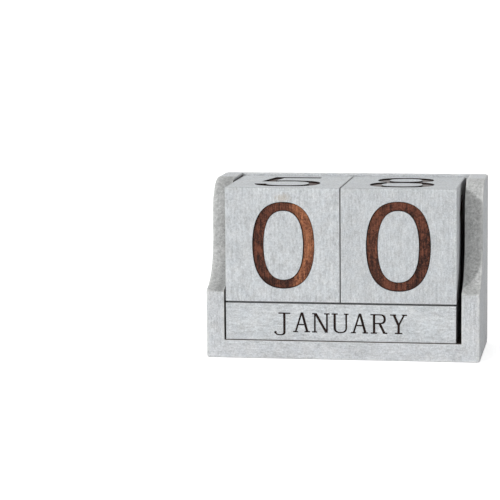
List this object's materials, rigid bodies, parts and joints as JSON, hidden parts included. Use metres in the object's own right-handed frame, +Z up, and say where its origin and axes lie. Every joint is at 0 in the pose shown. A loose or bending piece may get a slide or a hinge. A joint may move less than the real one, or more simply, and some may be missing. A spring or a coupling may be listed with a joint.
{
  "type": "perpetual desk calendar",
  "caption": "Wooden desk calendar: a low tray with tall shaped ends holds two numbered date cubes side by side on square month bars.",
  "frame": {"origin": "on the desk under the middle of the tray", "axes": "+X along the width to the reader's right, +Y to the back of the tray, +Z up"},
  "size_m": [0.1306, 0.059, 0.0834],
  "materials": {
    "tray_paint": "thin matt pale grey paint over light wood, worn at the edges",
    "cube_paint": "thin matt pale grey paint, numerals cut through to dark brown wood",
    "bar_paint": "thin matt pale grey paint, month names cut through to dark brown wood",
    "nail_steel": "dull pin nails, sunk below the surface"
  },
  "bodies": {
    "tray": {"base_board": "tray_paint", "left_side": "tray_paint", "right_side": "tray_paint", "back_panel": "tray_paint", "corner_brads": "nail_steel", "back_brads": "nail_steel"},
    "tens_cube_body": {"tens_cube": "cube_paint"},
    "units_cube_body": {"units_cube": "cube_paint"},
    "back_bar_body": {"month_bar_back": "bar_paint"},
    "middle_bar_body": {"month_bar_middle": "bar_paint"},
    "front_bar_body": {"month_bar_front": "bar_paint"}
  },
  "joints": [
    {"name": "tens_cube_lift", "type": "slide", "parent": "tray", "child": "tens_cube_body", "axis": [0, 0, 1], "range_m": [0, 0.0664]},
    {"name": "units_cube_lift", "type": "slide", "parent": "tray", "child": "units_cube_body", "axis": [0, 0, 1], "range_m": [0, 0.0664]},
    {"name": "back_bar_slide", "type": "slide", "parent": "tray", "child": "back_bar_body", "axis": [0, -1, 0], "range_m": [0, 0.0656]},
    {"name": "middle_bar_slide", "type": "slide", "parent": "back_bar_body", "child": "middle_bar_body", "axis": [0, -1, 0], "range_m": [0, 0.0473]},
    {"name": "front_bar_slide", "type": "slide", "parent": "middle_bar_body", "child": "front_bar_body", "axis": [0, -1, 0], "range_m": [0, 0.029]}
  ]
}
